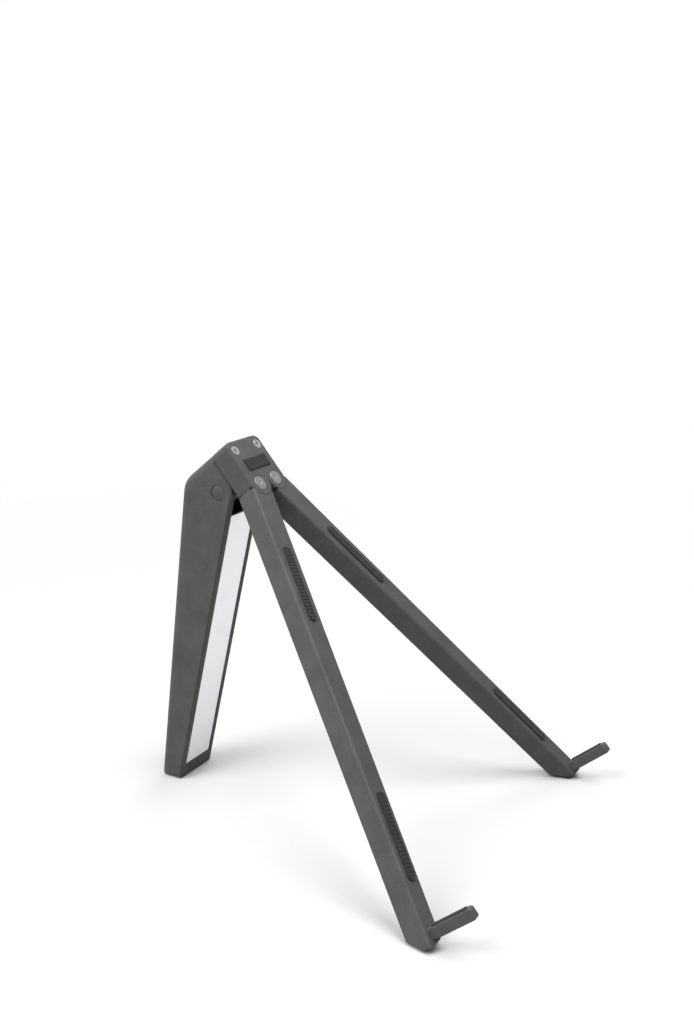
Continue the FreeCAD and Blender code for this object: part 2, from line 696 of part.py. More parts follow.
def draw_heel(sketch):
    """Draw what the round heel takes off the leg's lower rear corner."""
    height = f"({LEG_BOTTOM} + leg_heel_radius)"
    rear = (f"{heel_centre()} + leg_heel_radius * cos(leg_rear_lean)",
            f"{height} + leg_heel_radius * sin(leg_rear_lean)")
    outside = (f"{rear_at(LEG_BOTTOM)} + leg_heel_radius", f"{LEG_BOTTOM} - leg_heel_radius")
    bottom = (heel_centre(), LEG_BOTTOM)
    start, corner, stop = [FreeCAD.Vector(value(y), value(z), 0) for y, z in (rear, outside, bottom)]
    centre = FreeCAD.Vector(value(heel_centre()), value(height), 0)
    circle = Part.Circle(centre, FreeCAD.Vector(0, 0, 1), value("leg_heel_radius"))
    sketch.addGeometry(Part.LineSegment(start, corner))
    sketch.addGeometry(Part.LineSegment(corner, stop))
    sketch.addGeometry(Part.ArcOfCircle(circle, -math.pi / 2, math.radians(value("leg_rear_lean"))))
    for first, second in ((0, 1), (1, 2), (2, 0)):
        sketch.addConstraint(Sketcher.Constraint("Coincident", first, 2, second, 1))
    for geometry, place in ((0, rear), (1, outside), (2, bottom)):
        fix_point(sketch, geometry, 1, *place)
    fix_radius(sketch, 2, "leg_heel_radius")


def draw_foot_corner(sketch, side_sign):
    """Draw what the round takes off one lower corner of the leg, seen from the front."""
    outer = f"{side_sign}leg_width / 2"
    inner = f"{side_sign}(leg_width / 2 - leg_foot_radius)"
    height = f"({LEG_BOTTOM} + leg_foot_radius)"
    places = [(outer, height), (outer, LEG_BOTTOM), (inner, LEG_BOTTOM)]
    side, corner, bottom = [FreeCAD.Vector(value(x), value(z), 0) for x, z in places]
    centre = FreeCAD.Vector(value(inner), value(height), 0)
    circle = Part.Circle(centre, FreeCAD.Vector(0, 0, 1), value("leg_foot_radius"))
    sketch.addGeometry(Part.LineSegment(side, corner))
    sketch.addGeometry(Part.LineSegment(corner, bottom))
    turns = (math.pi, 3 * math.pi / 2) if side_sign else (-math.pi / 2, 0)
    sketch.addGeometry(Part.ArcOfCircle(circle, *turns))
    first, last = (1, 2) if side_sign else (2, 1)
    sketch.addConstraint(Sketcher.Constraint("Coincident", 0, 2, 1, 1))
    sketch.addConstraint(Sketcher.Constraint("Coincident", 0, 1, 2, first))
    sketch.addConstraint(Sketcher.Constraint("Coincident", 1, 2, 2, last))
    fix_point(sketch, 0, 1, *places[0])
    fix_point(sketch, 1, 1, *places[1])
    fix_point(sketch, 2, last, *places[2])
    fix_radius(sketch, 2, "leg_foot_radius")


def is_long_edge(edge, place):
    """Tell whether an edge runs down the leg at this place across its depth."""
    size, middle = spans(edge)
    return size[2] > -value(LEG_BOTTOM) / 2 and abs(middle.y - value(place)) < value("leg_back")


def build_leg():
    """Mould the rear leg: tapered shell, ears with a stop face, plate ledges and a closed foot."""
    leg = new_body("rear_leg", LEG)
    side = new_sketch(leg, "YZ_Plane")
    ear_front = ("-leg_front_offset * cos(leg_front_lean)", "-leg_front_offset * sin(leg_front_lean)")
    outline = [
        ear_front,
        deck_point("0", "leg_front_offset"),
        deck_point("hub_rear - hinge_setback", "leg_front_offset"),
        shoulder_point("0"),
        (rear_at(LEG_BOTTOM), LEG_BOTTOM),
        (front_at(LEG_BOTTOM), LEG_BOTTOM),
    ]
    draw_polygon(side, outline)
    extrude(side, "Pad", "leg_width", both=True)
    ears = new_sketch(leg, "YZ_Plane")
    draw_circle(ears, "0", "0", "leg_front_offset")
    extrude(ears, "Pad", "leg_width", both=True)
    width = value("leg_width")
    shoulder = [value(part) for part in shoulder_point("0")]
    round_edges(leg, "leg_shoulder_radius", lambda e: near(spans(e)[0][0], width)
                and near(spans(e)[1].y, shoulder[0]) and near(spans(e)[1].z, shoulder[1]))
    # the long edges are round at the back and crisp beside the front plate
    round_edges(leg, "leg_edge_radius", lambda e: is_long_edge(e, rear_at(f"{LEG_BOTTOM} / 2")))
    bevel_edges(leg, "leg_front_chamfer", lambda e: is_long_edge(e, front_at(f"{LEG_BOTTOM} / 2")))
    heel = new_sketch(leg, "YZ_Plane")
    draw_heel(heel)
    extrude(heel, "Pocket", "leg_width + leg_wall", both=True)
    for side_sign in ("-", ""):
        corner = new_sketch(leg, "XZ_Plane")
        draw_foot_corner(corner, side_sign)
        extrude(corner, "Pocket", "2 * (leg_rear_offset + arm_reach)", both=True)
    # seat of the sole
    seat = new_sketch(leg, "XY_Plane", ("0", "0", LEG_BOTTOM))
    draw_rectangle(seat, f"-({SOLE_WIDTH} / 2 + pad_fit)", f"{SOLE_WIDTH} / 2 + pad_fit",
                   f"{front_at(LEG_BOTTOM)} + foot_pad_margin - pad_fit",
                   f"{heel_centre()} - foot_pad_margin + pad_fit")
    extrude(seat, "Pocket", "foot_pad_sink", flip=True)
    # open slot for the hub's tongue between the ears
    slot = new_sketch(leg, "YZ_Plane")
    clear = "-(leg_front_offset + leg_rear_offset)"
    slot_floor = "(-ear_slot_drop)"
    slot_top = deck_point("hub_rear - hinge_setback - leg_back", "2 * leg_front_offset")
    draw_polygon(slot, [
        (clear, slot_floor),
        (rear_at(slot_floor, "leg_back"), slot_floor),
        shoulder_point("leg_back"),
        slot_top,
        (clear, slot_top[1]),
    ])
    extrude(slot, "Pocket", EAR_GAP, both=True)
    hollow = new_sketch(leg, "YZ_Plane")
    draw_polygon(hollow, [
        (f"{front_at(BAR_TOP)} - leg_wall", BAR_TOP),
        (rear_at(BAR_TOP, "leg_back"), BAR_TOP),
        (rear_at(slot_floor, "leg_back"), slot_floor),
        (f"{front_at(slot_floor)} - leg_wall", slot_floor),
    ])
    extrude(hollow, "Pocket", f"{EAR_GAP} - 2 * leg_ledge", both=True)
    # rebate that the front plate lies in
    rebate = new_sketch(leg, "YZ_Plane", turn="leg_front_lean")
    draw_rectangle(rebate, "-leg_front_offset - leg_wall", f"-{PLATE_BACK}",
                   along_front(BAR_TOP), along_front(slot_floor))
    extrude(rebate, "Pocket", EAR_GAP, both=True)
    bore = new_sketch(leg, "YZ_Plane")
    draw_circle(bore, "0", "0", "hinge_pin_diameter / 2 + seat_fit")
    extrude(bore, "Pocket", "leg_width", both=True)
    for side_sign, flip in (("-", True), ("", False)):
        seat = new_sketch(leg, "YZ_Plane", ("0", "0", f"{side_sign}leg_width / 2"))
        draw_circle(seat, "0", "0", "pin_cap_diameter / 2 + seat_fit")
        extrude(seat, "Pocket", "pin_cap_thickness", flip=flip)
    return leg


def build_leg_fittings():
    """Make the leg's front plate, sole, hinge pin, washers and the right pin cap."""
    bottom = along_front(BAR_TOP)
    top = along_front("-ear_slot_drop")
    tilted = in_leg("0", "0", "0", "rotationx(leg_front_lean)")
    place = f"{tilted} * placement(vector(0; -{PLATE_BACK}; ({top} + {bottom}) / 2); rotationx(90))"
    plate = flat_plate("leg_front_plate", place, f"{EAR_GAP} - 2 * plate_fit",
                       f"{top} - {bottom} - 2 * plate_fit", "plate_thickness")
    face = value("plate_thickness")
    bevel_edges(plate, "plate_edge_chamfer", lambda e: near(e.BoundBox.ZMin, face))
    front = front_at(LEG_BOTTOM)
    place = f"placement(vector(0; {HINGE_Y} + ({front} + {heel_centre()}) / 2; 0); rotationx(0))"
    sole_length = f"({heel_centre()} - {front} - 2 * foot_pad_margin)"
    sole = flat_plate("leg_foot_pad", place, SOLE_WIDTH, sole_length, "foot_pad_thickness")
    pin_length = "(leg_width - 2 * (pin_cap_thickness + axial_play))"
    pin = cylinder("leg_hinge_pin", in_leg(f"-{pin_length} / 2", "0", "0", "rotationy(90)"),
                   "hinge_pin_diameter / 2", pin_length)
    washers = []
    for name, x in (("left", f"-({TONGUE_WIDTH} / 2 + axial_play + hinge_washer_thickness)"),
                    ("right", f"{TONGUE_WIDTH} / 2 + axial_play")):
        washers.append(ring(f"{name}_hinge_washer", in_leg(x, "0", "0", "rotationy(90)"),
                            "hinge_washer_diameter / 2", "hinge_pin_diameter / 2 + running_fit",
                            "hinge_washer_thickness"))
    cap = cylinder("pin_cap_right", in_leg("leg_width / 2 - pin_cap_thickness", "0", "0", "rotationy(90)"),
                   "pin_cap_diameter / 2", "pin_cap_thickness")
    return plate, sole, pin, grouped("hinge_washers", washers), cap


def check(pieces):
    """Stop if an object of the document failed or a piece has no sound solid."""
    for item in document.Objects:
        if {"Invalid", "Error"} & set(item.State):
            raise RuntimeError(f"{item.Name} failed: {item.State}")
    for piece in pieces:
        if piece.Shape.isNull() or not piece.Shape.isValid() or not piece.Shape.Solids:
            raise RuntimeError(f"{piece.Label} has no sound solid")


def main():
    """Build every piece, check it and write it out."""
    pad, screws, pivot_pin, arm_washers = build_hub_fittings()
    plate, sole, hinge_pin, hinge_washers, cap = build_leg_fittings()
    hub = [build_housing(), build_cover(), pad, screws]
    leg = [build_leg(), plate, sole, hinge_pin, hinge_washers]
    handed = [build_arm(), *build_arm_pads(), pivot_pin, arm_washers, cap]
    twins = [mirrored(piece.Label.replace("_right", "_left"), piece) for piece in handed]
    pieces = hub + leg + handed + twins
    document.recompute()
    check(pieces)
    os.makedirs("parts", exist_ok=True)
    for piece in pieces:
        piece.Shape.exportStep(f"parts/{piece.Label}.step")


main()
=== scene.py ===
"""Dresses the folding laptop stand: its finishes, soft pads, small hardware and studio.

Everything is in metres in the part's own frame: X across, Y from the hooks to the rear leg,
Z up, and the stand's feet at Z = 0. The deck is the sloping plane that the pads' tops lie in.
"""
import json
import logging
import math
from dataclasses import dataclass
from enum import Enum
from typing import Any

import bmesh
import bpy
from mathutils import Matrix, Vector


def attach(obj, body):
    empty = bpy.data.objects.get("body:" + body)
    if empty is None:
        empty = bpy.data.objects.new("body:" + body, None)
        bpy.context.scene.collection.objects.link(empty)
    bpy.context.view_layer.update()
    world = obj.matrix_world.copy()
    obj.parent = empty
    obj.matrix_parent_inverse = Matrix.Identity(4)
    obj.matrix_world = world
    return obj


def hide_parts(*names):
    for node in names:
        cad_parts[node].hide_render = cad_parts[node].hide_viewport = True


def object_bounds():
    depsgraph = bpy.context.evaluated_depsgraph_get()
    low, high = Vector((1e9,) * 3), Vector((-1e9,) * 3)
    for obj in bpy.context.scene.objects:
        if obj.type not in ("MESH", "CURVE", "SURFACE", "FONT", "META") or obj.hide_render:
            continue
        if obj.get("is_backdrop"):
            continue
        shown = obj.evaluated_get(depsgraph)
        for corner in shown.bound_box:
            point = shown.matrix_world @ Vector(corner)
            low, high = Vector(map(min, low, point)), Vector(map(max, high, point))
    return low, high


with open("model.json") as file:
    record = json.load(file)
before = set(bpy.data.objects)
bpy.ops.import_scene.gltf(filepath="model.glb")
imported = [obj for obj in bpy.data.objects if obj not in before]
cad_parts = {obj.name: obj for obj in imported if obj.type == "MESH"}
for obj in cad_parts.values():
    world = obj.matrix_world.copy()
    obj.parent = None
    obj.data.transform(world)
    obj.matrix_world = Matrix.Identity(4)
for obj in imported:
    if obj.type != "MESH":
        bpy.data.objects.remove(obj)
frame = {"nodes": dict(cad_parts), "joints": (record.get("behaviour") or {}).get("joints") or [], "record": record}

MM = 0.001
LOG = logging.getLogger("laptop_stand")

X_AXIS = Vector((1.0, 0.0, 0.0))
Y_AXIS = Vector((0.0, 1.0, 0.0))
Z_AXIS = Vector((0.0, 0.0, 1.0))

# the wave texture's phase runs at twenty times its scale
WAVE_RATE = 20.0

# points nearer than this are one point
WELD = 0.01 * MM


class Side(Enum):
    """The two sides of the stand."""

    LEFT = "left"
    RIGHT = "right"

    def of(self, stem: str) -> str:
        """Gives the name of this side's node, body or joint."""
        return f"{stem}_{self.value}"


class Slot(Enum):
    """The record's material slots."""

    MOULDED = "moulded_charcoal"
    RUBBER = "soft_rubber"
    ALUMINIUM = "satin_aluminium"
    STEEL = "plain_steel"
    NYLON = "natural_nylon"


def linear(code: str) -> tuple[float, float, float, float]:
    """Turns an sRGB hex colour to linear.

    Args:
        code: the colour as a hash and six hex digits.

    Returns:
        Red, green, blue and an alpha of one.
    """
    parts = [int(code[place:place + 2], 16) / 255 for place in (1, 3, 5)]
    red, green, blue = [p / 12.92 if p <= 0.04045 else ((p + 0.055) / 1.055) ** 2.4 for p in parts]
    return red, green, blue, 1.0


def add_node(
    tree: bpy.types.NodeTree, kind: str, inputs: dict[Any, Any], **settings: Any
) -> bpy.types.Node:
    """Adds one shader node with its settings and links.

    Args:
        tree: the node tree to add to.
        kind: the node's type without the words ShaderNode.
        inputs: a value, or an output to link, for input sockets by name or number.
        settings: the node's own properties.

    Returns:
        The new node.
    """
    node = tree.nodes.new("ShaderNode" + kind)
    for name, setting in settings.items():
        setattr(node, name, setting)
    for socket, source in inputs.items():
        if isinstance(source, bpy.types.NodeSocket):
            tree.links.new(source, node.inputs[socket])
        else:
            node.inputs[socket].default_value = source
    return node


def per_metre(size_mm: float) -> float:
    """Gives the texture scale of a pattern whose marks are this many millimetres apart."""
    return 1.0 / (size_mm * MM)


@dataclass(frozen=True)
class Finish:
    """A material of the stand.

    Attributes:
        name: the material's name.
        slot: the record's slot that it belongs to; not used.
    """

    name: str
    slot: Slot

    def shade(self, tree: bpy.types.NodeTree, shader: bpy.types.Node) -> None:
        """Sets the shader and links the finish's patterns to it.

        Args:
            tree: the material's node tree.
            shader: its principled shader.
        """
        raise NotImplementedError

    def material(self) -> bpy.types.Material:
        """Gives the finish's material, making it on first use.

        Returns:
            The material.
        """
        made = bpy.data.materials.get(self.name)
        if made is None:
            made = bpy.data.materials.new(self.name)
            made.use_nodes = True
            tree = made.node_tree
            self.shade(tree, tree.nodes["Principled BSDF"])
        return made


@dataclass(frozen=True)
class MouldedNylon(Finish):
    """Glass-filled nylon, injection moulded in a spark-eroded cavity.

    The eye sees a matt charcoal with a fine pebble that breaks up every highlight, with painted
    shade in its pits and a painted highlight on its peaks, and faint cloudy tones where the melt flowed.
    """

    name: str = "charcoal_nylon_spark_eroded"
    slot: Slot = Slot.MOULDED
    dark: str = "#454546"
    pale: str = "#5f5f5f"
    # real spark erosion is about 0.1 mm, drawn coarser so that it shows
    pebble_mm: float = 0.6
    pebble_height_mm: float = 0.09
    pebble_strength: float = 0.8
    pebble_detail: float = 2.0
    # the pebble's noise keeps mostly between these two heights
    pit: float = 0.25
    peak: float = 0.75
    # factors of the colour: painted shade in the pebble's pits and a painted highlight on its peaks
    pit_painted_shade: float = 0.82
    peak_painted_highlight: float = 1.16
    flow_mm: float = 12.0
    flow_detail: float = 4.0
    smooth: float = 0.46
    rough: float = 0.66
    ior: float = 1.53
    specular: float = 0.28

    def shade(self, tree: bpy.types.NodeTree, shader: bpy.types.Node) -> None:
        """Sets the shader and links the pebble, the flow tones and the gloss.

        Args:
            tree: the material's node tree.
            shader: its principled shader.
        """
        shader.inputs["IOR"].default_value = self.ior
        shader.inputs["Specular IOR Level"].default_value = self.specular
        place = add_node(tree, "TexCoord", {}).outputs["Object"]
        flow = add_node(
            tree, "TexNoise",
            {"Vector": place, "Scale": per_metre(self.flow_mm), "Detail": self.flow_detail},
        )
        tones = add_node(
            tree, "Mix",
            {0: flow.outputs[0], 6: linear(self.dark), 7: linear(self.pale)},
            data_type="RGBA",
        )
        pebble = add_node(
            tree, "TexNoise",
            {"Vector": place, "Scale": per_metre(self.pebble_mm), "Detail": self.pebble_detail},
        )
        # the pebble darkens the colour in its pits as painted shade and lightens it on its peaks as a painted
        # highlight
        depth = add_node(
            tree, "MapRange",
            {"Value": pebble.outputs[0], "From Min": self.pit, "From Max": self.peak,
             "To Min": self.pit_painted_shade, "To Max": self.peak_painted_highlight},
        )
        # the flow tones with the pebble's painted shade and painted highlight laid on
        grain = add_node(
            tree, "VectorMath",
            {0: tones.outputs[2], "Scale": depth.outputs[0]},
            operation="SCALE",
        )
        tree.links.new(grain.outputs[0], shader.inputs["Base Color"])
        gloss = add_node(
            tree, "MapRange",
            {"Value": pebble.outputs[0], "To Min": self.rough, "To Max": self.smooth},
        )
        tree.links.new(gloss.outputs[0], shader.inputs["Roughness"])
        relief = add_node(
            tree, "Bump",
            {"Height": pebble.outputs[0], "Strength": self.pebble_strength,
             "Distance": self.pebble_height_mm * MM},
        )
        tree.links.new(relief.outputs[0], shader.inputs["Normal"])


@dataclass(frozen=True)
class SiliconeRubber(Finish):
    """Black silicone rubber, compression moulded and left with its dull skin.

    The eye sees a deep matt black with a soft bloom at grazing light and a few paler specks of dust.
    """

    name: str = "black_silicone_rubber_dull_moulded"
    slot: Slot = Slot.RUBBER
    colour: str = "#1c1c1d"
    dust: str = "#343433"
    dust_mm: float = 2.2
    dust_detail: float = 6.0
    # dust shows where its noise is over the first height, and in full at the second
    dust_from: float = 0.5
    dust_full: float = 0.85
    dust_most: float = 0.8
    skin_mm: float = 0.5
    skin_detail: float = 1.0
    skin_height_mm: float = 0.006
    skin_strength: float = 0.5
    clean_rough: float = 0.62
    dusty_rough: float = 0.86
    ior: float = 1.43
    sheen: float = 0.12
    sheen_rough: float = 0.5

    def shade(self, tree: bpy.types.NodeTree, shader: bpy.types.Node) -> None:
        """Sets the shader and links the dust and the skin.

        Args:
            tree: the material's node tree.
            shader: its principled shader.
        """
        shader.inputs["IOR"].default_value = self.ior
        shader.inputs["Sheen Weight"].default_value = self.sheen
        shader.inputs["Sheen Roughness"].default_value = self.sheen_rough
        place = add_node(tree, "TexCoord", {}).outputs["Object"]
        dust = add_node(
            tree, "TexNoise",
            {"Vector": place, "Scale": per_metre(self.dust_mm), "Detail": self.dust_detail},
        )
        share = add_node(
            tree, "MapRange",
            {"Value": dust.outputs[0], "From Min": self.dust_from, "From Max": self.dust_full,
             "To Max": self.dust_most},
        )
        tones = add_node(
            tree, "Mix",
            {0: share.outputs[0], 6: linear(self.colour), 7: linear(self.dust)},
            data_type="RGBA",
        )
        tree.links.new(tones.outputs[2], shader.inputs["Base Color"])
        gloss = add_node(
            tree, "MapRange",
            {"Value": dust.outputs[0], "To Min": self.clean_rough, "To Max": self.dusty_rough},
        )
        tree.links.new(gloss.outputs[0], shader.inputs["Roughness"])
        skin = add_node(
            tree, "TexNoise",
            {"Vector": place, "Scale": per_metre(self.skin_mm), "Detail": self.skin_detail},
        )
        relief = add_node(
            tree, "Bump",
            {"Height": skin.outputs[0], "Strength": self.skin_strength,
             "Distance": self.skin_height_mm * MM},
        )
        tree.links.new(relief.outputs[0], shader.inputs["Normal"])


@dataclass(frozen=True)
class BlastedAluminium(Finish):
    """Aluminium sheet, bead blasted and clear anodised.

    The eye sees a pale silver that glows evenly, with a sugar-fine sparkle and no direction.
    """

    name: str = "aluminium_bead_blasted_anodised"
    slot: Slot = Slot.ALUMINIUM
    colour: str = "#f5f5f6"
    shade_colour: str = "#ebeced"
    # beads leave dimples of about 0.08 mm, drawn coarser so that they show
    bead_mm: float = 0.45
    bead_detail: float = 1.0
    bead_height_mm: float = 0.01
    bead_strength: float = 0.5
    cloud_mm: float = 16.0
    cloud_detail: float = 3.0
    dimple_rough: float = 0.36
    land_rough: float = 0.48

    def shade(self, tree: bpy.types.NodeTree, shader: bpy.types.Node) -> None:
        """Sets the shader and links the dimples and the cloudy tone.

        Args:
            tree: the material's node tree.
            shader: its principled shader.
        """
        shader.inputs["Metallic"].default_value = 1.0
        place = add_node(tree, "TexCoord", {}).outputs["Object"]
        cloud = add_node(
            tree, "TexNoise",
            {"Vector": place, "Scale": per_metre(self.cloud_mm), "Detail": self.cloud_detail},
        )
        tones = add_node(
            tree, "Mix",
            {0: cloud.outputs[0], 6: linear(self.shade_colour), 7: linear(self.colour)},
            data_type="RGBA",
        )
        tree.links.new(tones.outputs[2], shader.inputs["Base Color"])
        bead = add_node(
            tree, "TexNoise",
            {"Vector": place, "Scale": per_metre(self.bead_mm), "Detail": self.bead_detail},
        )
        gloss = add_node(
            tree, "MapRange",
            {"Value": bead.outputs[0], "To Min": self.dimple_rough, "To Max": self.land_rough},
        )
        tree.links.new(gloss.outputs[0], shader.inputs["Roughness"])
        relief = add_node(
            tree, "Bump",
            {"Height": bead.outputs[0], "Strength": self.bead_strength,
             "Distance": self.bead_height_mm * MM},
        )
        tree.links.new(relief.outputs[0], shader.inputs["Normal"])


@dataclass(frozen=True)
class TurnedSteel(Finish):
    """Zinc-plated steel, turned on a lathe.

    The eye sees a cool grey metal with fine rings round its axis that stretch the highlights.
    """

    name: str = "steel_zinc_plated_turned"
    slot: Slot = Slot.STEEL
    colour: str = "#d4d6d8"
    # painted shade in the feed grooves
    groove_painted_shade_colour: str = "#a8aaae"
    # a lathe's feed marks are about 0.05 mm apart, drawn coarser so that they show
    feed_mm: float = 0.4
    feed_wander: float = 0.6
    feed_detail: float = 2.0
    feed_height_mm: float = 0.003
    feed_strength: float = 0.5
    groove_rough: float = 0.34
    land_rough: float = 0.22

    def shade(self, tree: bpy.types.NodeTree, shader: bpy.types.Node) -> None:
        """Sets the shader and links the feed marks.

        Args:
            tree: the material's node tree.
            shader: its principled shader.
        """
        shader.inputs["Metallic"].default_value = 1.0
        place = add_node(tree, "TexCoord", {}).outputs["Object"]
        rings = add_node(
            tree, "TexWave",
            {"Vector": place, "Scale": math.tau / WAVE_RATE * per_metre(self.feed_mm),
             "Distortion": self.feed_wander, "Detail": self.feed_detail},
            wave_type="RINGS", rings_direction="Z",
        )
        # the rings take the darker colour in their grooves, as painted shade
        tones = add_node(
            tree, "Mix",
            {0: rings.outputs[1], 6: linear(self.groove_painted_shade_colour), 7: linear(self.colour)},
            data_type="RGBA",
        )
        tree.links.new(tones.outputs[2], shader.inputs["Base Color"])
        gloss = add_node(
            tree, "MapRange",
            {"Value": rings.outputs[1], "To Min": self.groove_rough, "To Max": self.land_rough},
        )
        tree.links.new(gloss.outputs[0], shader.inputs["Roughness"])
        relief = add_node(
            tree, "Bump",
            {"Height": rings.outputs[1], "Strength": self.feed_strength,
             "Distance": self.feed_height_mm * MM},
        )
        tree.links.new(relief.outputs[0], shader.inputs["Normal"])


@dataclass(frozen=True)
class PlatedSteel(Finish):
    """Cold-headed steel, plated with zinc in a barrel.

    The eye sees a dull bluish grey with soft mottled spangles and darker scuffs from the barrel.
    """

    name: str = "steel_cold_headed_barrel_plated"
    slot: Slot = Slot.STEEL
    colour: str = "#d6d8dc"
    scuff_colour: str = "#a0a2a6"
    spangle_mm: float = 0.6
    spangle_detail: float = 3.0
    spangle_height_mm: float = 0.008
    spangle_strength: float = 0.5
    scuff_rough: float = 0.42
    bright_rough: float = 0.28

    def shade(self, tree: bpy.types.NodeTree, shader: bpy.types.Node) -> None:
        """Sets the shader and links the spangles.

        Args:
            tree: the material's node tree.
            shader: its principled shader.
        """
        shader.inputs["Metallic"].default_value = 1.0
        place = add_node(tree, "TexCoord", {}).outputs["Object"]
        spangle = add_node(
            tree, "TexNoise",
            {"Vector": place, "Scale": per_metre(self.spangle_mm), "Detail": self.spangle_detail},
        )
        tones = add_node(
            tree, "Mix",
            {0: spangle.outputs[0], 6: linear(self.scuff_colour), 7: linear(self.colour)},
            data_type="RGBA",
        )
        tree.links.new(tones.outputs[2], shader.inputs["Base Color"])
        gloss = add_node(
            tree, "MapRange",
            {"Value": spangle.outputs[0], "To Min": self.scuff_rough, "To Max": self.bright_rough},
        )
        tree.links.new(gloss.outputs[0], shader.inputs["Roughness"])
        relief = add_node(
            tree, "Bump",
            {"Height": spangle.outputs[0], "Strength": self.spangle_strength,
             "Distance": self.spangle_height_mm * MM},
        )
        tree.links.new(relief.outputs[0], shader.inputs["Normal"])


@dataclass(frozen=True)
class NaturalNylon(Finish):
    """Unfilled nylon sheet, die cut.

    The eye sees a milky ivory with a waxy gloss, a little light passing through its thin edges.
    """

    name: str = "ivory_nylon_die_cut"
    slot: Slot = Slot.NYLON
    colour: str = "#e4dfcf"
    pale: str = "#eeebe0"
    cloud_mm: float = 2.5
    cloud_detail: float = 3.0
    waxy_rough: float = 0.38
    dull_rough: float = 0.52
    ior: float = 1.53
    glow: float = 0.15
    glow_depth_mm: float = 0.5

    def shade(self, tree: bpy.types.NodeTree, shader: bpy.types.Node) -> None:
        """Sets the shader and links the cloudy tone and the gloss.

        Args:
            tree: the material's node tree.
            shader: its principled shader.
        """
        shader.inputs["IOR"].default_value = self.ior
        shader.inputs["Subsurface Weight"].default_value = self.glow
        shader.inputs["Subsurface Scale"].default_value = self.glow_depth_mm * MM
        place = add_node(tree, "TexCoord", {}).outputs["Object"]
        cloud = add_node(
            tree, "TexNoise",
            {"Vector": place, "Scale": per_metre(self.cloud_mm), "Detail": self.cloud_detail},
        )
        tones = add_node(
            tree, "Mix",
            {0: cloud.outputs[0], 6: linear(self.colour), 7: linear(self.pale)},
            data_type="RGBA",
        )
        tree.links.new(tones.outputs[2], shader.inputs["Base Color"])
        gloss = add_node(
            tree, "MapRange",
            {"Value": cloud.outputs[0], "To Min": self.waxy_rough, "To Max": self.dull_rough},
        )
        tree.links.new(gloss.outputs[0], shader.inputs["Roughness"])


CHARCOAL = MouldedNylon()
RUBBER = SiliconeRubber()
ALUMINIUM = BlastedAluminium()
TURNED_STEEL = TurnedSteel()
PLATED_STEEL = PlatedSteel()
NYLON = NaturalNylon()


def axes(origin: Vector, x: Vector, z: Vector) -> Matrix:
    """Makes a place with its own directions.

    Args:
        origin: where the place is.
        x: direction of its x.
        z: direction of its z, square to x.

    Returns:
        The matrix from the place to the part's frame.
    """
    y = z.cross(x)
    turn = Matrix((x, y, z)).transposed().to_4x4()
    return Matrix.Translation(origin) @ turn


def span(node: str, place: Matrix) -> tuple[Vector, Vector]:
    """Measures a node of the frame in a place's own directions.

    Args:
        node: the node's name.
        place: the place to measure in.

    Returns:
        The node's lowest and highest corner there.
    """
    back = place.inverted()
    points = [back @ vertex.co for vertex in frame["nodes"][node].data.vertices]
    low = Vector([min(point[i] for point in points) for i in range(3)])
    high = Vector([max(point[i] for point in points) for i in range(3)])
    return low, high


def joint(name: str) -> dict[str, Any]:
    """Gives a joint of the frame by name."""
    return next(item for item in frame["joints"] if item["name"] == name)


def mount(name: str) -> dict[str, Any]:
    """Gives a mount of the frame's record by name."""
    return next(item for item in frame["record"]["mounts"] if item["name"] == name)


def deck() -> Matrix:
    """Finds the deck's own directions, midway between the arms' pivots.

    Returns:
        The place, with x across, y up the slope and z out of the deck.
    """
    pivots = [Vector(joint(side.of("arm") + "_swing")["pos_m"]) for side in Side]
    normal = Vector(mount("laptop_rest_right")["axis"])
    return axes((pivots[0] + pivots[1]) / 2, X_AXIS, normal)


def finished_mesh(shape: bmesh.types.BMesh, name: str, crease_deg: float = 35.0) -> bpy.types.Mesh:
    """Turns a shape under construction to a mesh with smooth rounds and crisp edges.

    Args:
        shape: the shape, which is freed.
        name: the mesh's name.
        crease_deg: faces that meet at more than this angle keep a crisp edge.

    Returns:
        The mesh.
    """
    bmesh.ops.remove_doubles(shape, verts=shape.verts, dist=WELD)
    bmesh.ops.recalc_face_normals(shape, faces=shape.faces)
    mesh = bpy.data.meshes.new(name)
    shape.to_mesh(mesh)
    shape.free()
    mesh.shade_smooth()
    mesh.set_sharp_from_angle(angle=math.radians(crease_deg))
    return mesh


def turned_shape(profile: list[tuple[float, float]], steps: int = 72) -> bmesh.types.BMesh:
    """Turns a profile about z, as on a lathe.

    Args:
        profile: pairs of radius and height, from the top's middle to the bottom's middle.
        steps: how many faces go round.

    Returns:
        The closed shape.
    """
    shape = bmesh.new()
    rings = []
    for radius, height in profile:
        angles = [math.tau * step / steps for step in range(steps if radius > 0 else 1)]
        points = [(radius * math.cos(angle), radius * math.sin(angle), height) for angle in angles]
        rings.append([shape.verts.new(point) for point in points])
    for upper, lower in zip(rings, rings[1:]):
        for step in range(steps):
            after = (step + 1) % steps
            corners = [upper[step % len(upper)], lower[step % len(lower)],
                       lower[after % len(lower)], upper[after % len(upper)]]
            shape.faces.new(list(dict.fromkeys(corners)))
    return shape


def carved(mesh: bpy.types.Mesh, tool: bpy.types.Mesh) -> bpy.types.Mesh:
    """Cuts one mesh out of another.

    Args:
        mesh: the mesh to cut, which is removed.
        tool: the mesh that is cut away, which is removed.

    Returns:
        The mesh that is left.
    """
    body, cutter = [bpy.data.objects.new(data.name, data) for data in (mesh, tool)]
    for item in (body, cutter):
        bpy.context.scene.collection.objects.link(item)
    change = body.modifiers.new("cut", "BOOLEAN")
    change.object = cutter
    change.solver = "EXACT"
    change.use_self = True
    state = bpy.context.evaluated_depsgraph_get()
    left = bpy.data.meshes.new_from_object(body.evaluated_get(state))
    for item in (body, cutter):
        bpy.data.objects.remove(item)
    for data in (mesh, tool):
        bpy.data.meshes.remove(data)
    return left


